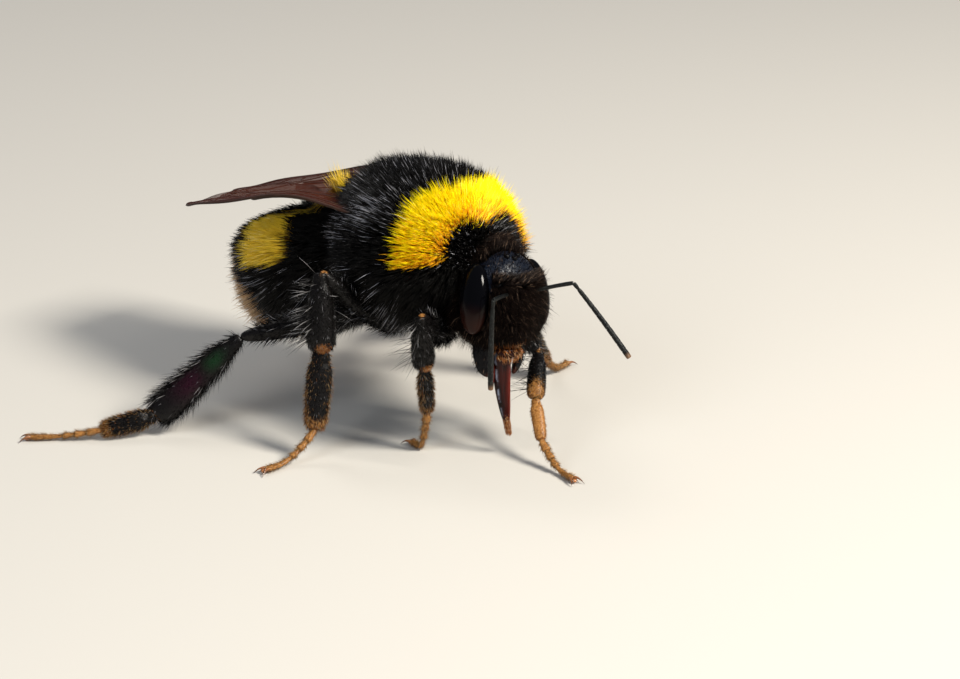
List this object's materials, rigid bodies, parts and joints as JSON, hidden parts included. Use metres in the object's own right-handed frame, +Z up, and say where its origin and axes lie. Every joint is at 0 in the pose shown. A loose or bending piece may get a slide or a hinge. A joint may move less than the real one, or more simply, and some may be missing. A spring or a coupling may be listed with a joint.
{
  "type": "bumblebee",
  "caption": "Life-size standing queen bumblebee, a still model: furry body, folded smoky wings, bent feelers, lowered tongue and splayed legs.",
  "frame": {"origin": "on the floor under the middle of the bounding box of the standing bee", "axes": "+Z up, -Y the way the head points, -X the bee's right side"},
  "size_m": [0.0298, 0.0276, 0.0139],
  "materials": {
    "black_coat": "dense black hair with a silvery glint",
    "yellow_coat": "golden yellow hair",
    "buff_coat": "buff hair of the tail",
    "brown_leg_coat": "short brown hair",
    "black_shell": "glossy black body shell",
    "eye": "very glossy dark brown compound eye",
    "amber_shell": "translucent looking red-brown shell",
    "smoky_wing": "smoky brown wing membrane"
  },
  "bodies": {
    "root": {"thorax": "black_coat", "head": "black_coat", "labrum": "black_shell", "tongue_sheath": "amber_shell", "tongue_tip": "amber_shell", "eye_left": "eye", "eye_right": "eye", "mandible_left": "black_shell", "mandible_right": "black_shell", "scape_left": "black_shell", "scape_right": "black_shell", "flagellum_left": "black_shell", "flagellum_right": "black_shell", "forewing_left": "smoky_wing", "forewing_right": "smoky_wing", "hindwing_left": "smoky_wing", "hindwing_right": "smoky_wing", "ocellus_1": "eye", "ocellus_2": "eye", "ocellus_3": "eye", "abdomen_1": "black_coat", "abdomen_2": "yellow_coat", "abdomen_3": "black_coat", "abdomen_4": "buff_coat", "abdomen_5": "buff_coat", "abdomen_6": "buff_coat", "femur_fore_left": "black_coat", "femur_fore_right": "black_coat", "femur_mid_left": "black_coat", "femur_mid_right": "black_coat", "femur_hind_left": "black_coat", "femur_hind_right": "black_coat", "tibia_fore_left": "black_coat", "tibia_fore_right": "black_coat", "tibia_mid_left": "black_coat", "tibia_mid_right": "black_coat", "tibia_hind_left": "black_coat", "tibia_hind_right": "black_coat", "metatarsus_fore_left": "brown_leg_coat", "metatarsus_fore_right": "brown_leg_coat", "metatarsus_mid_left": "brown_leg_coat", "metatarsus_mid_right": "brown_leg_coat", "metatarsus_hind_left": "brown_leg_coat", "metatarsus_hind_right": "brown_leg_coat", "tarsus_fore_left": "amber_shell", "tarsus_fore_right": "amber_shell", "tarsus_mid_left": "amber_shell", "tarsus_mid_right": "amber_shell", "tarsus_hind_left": "amber_shell", "tarsus_hind_right": "amber_shell"}
  },
  "joints": []
}
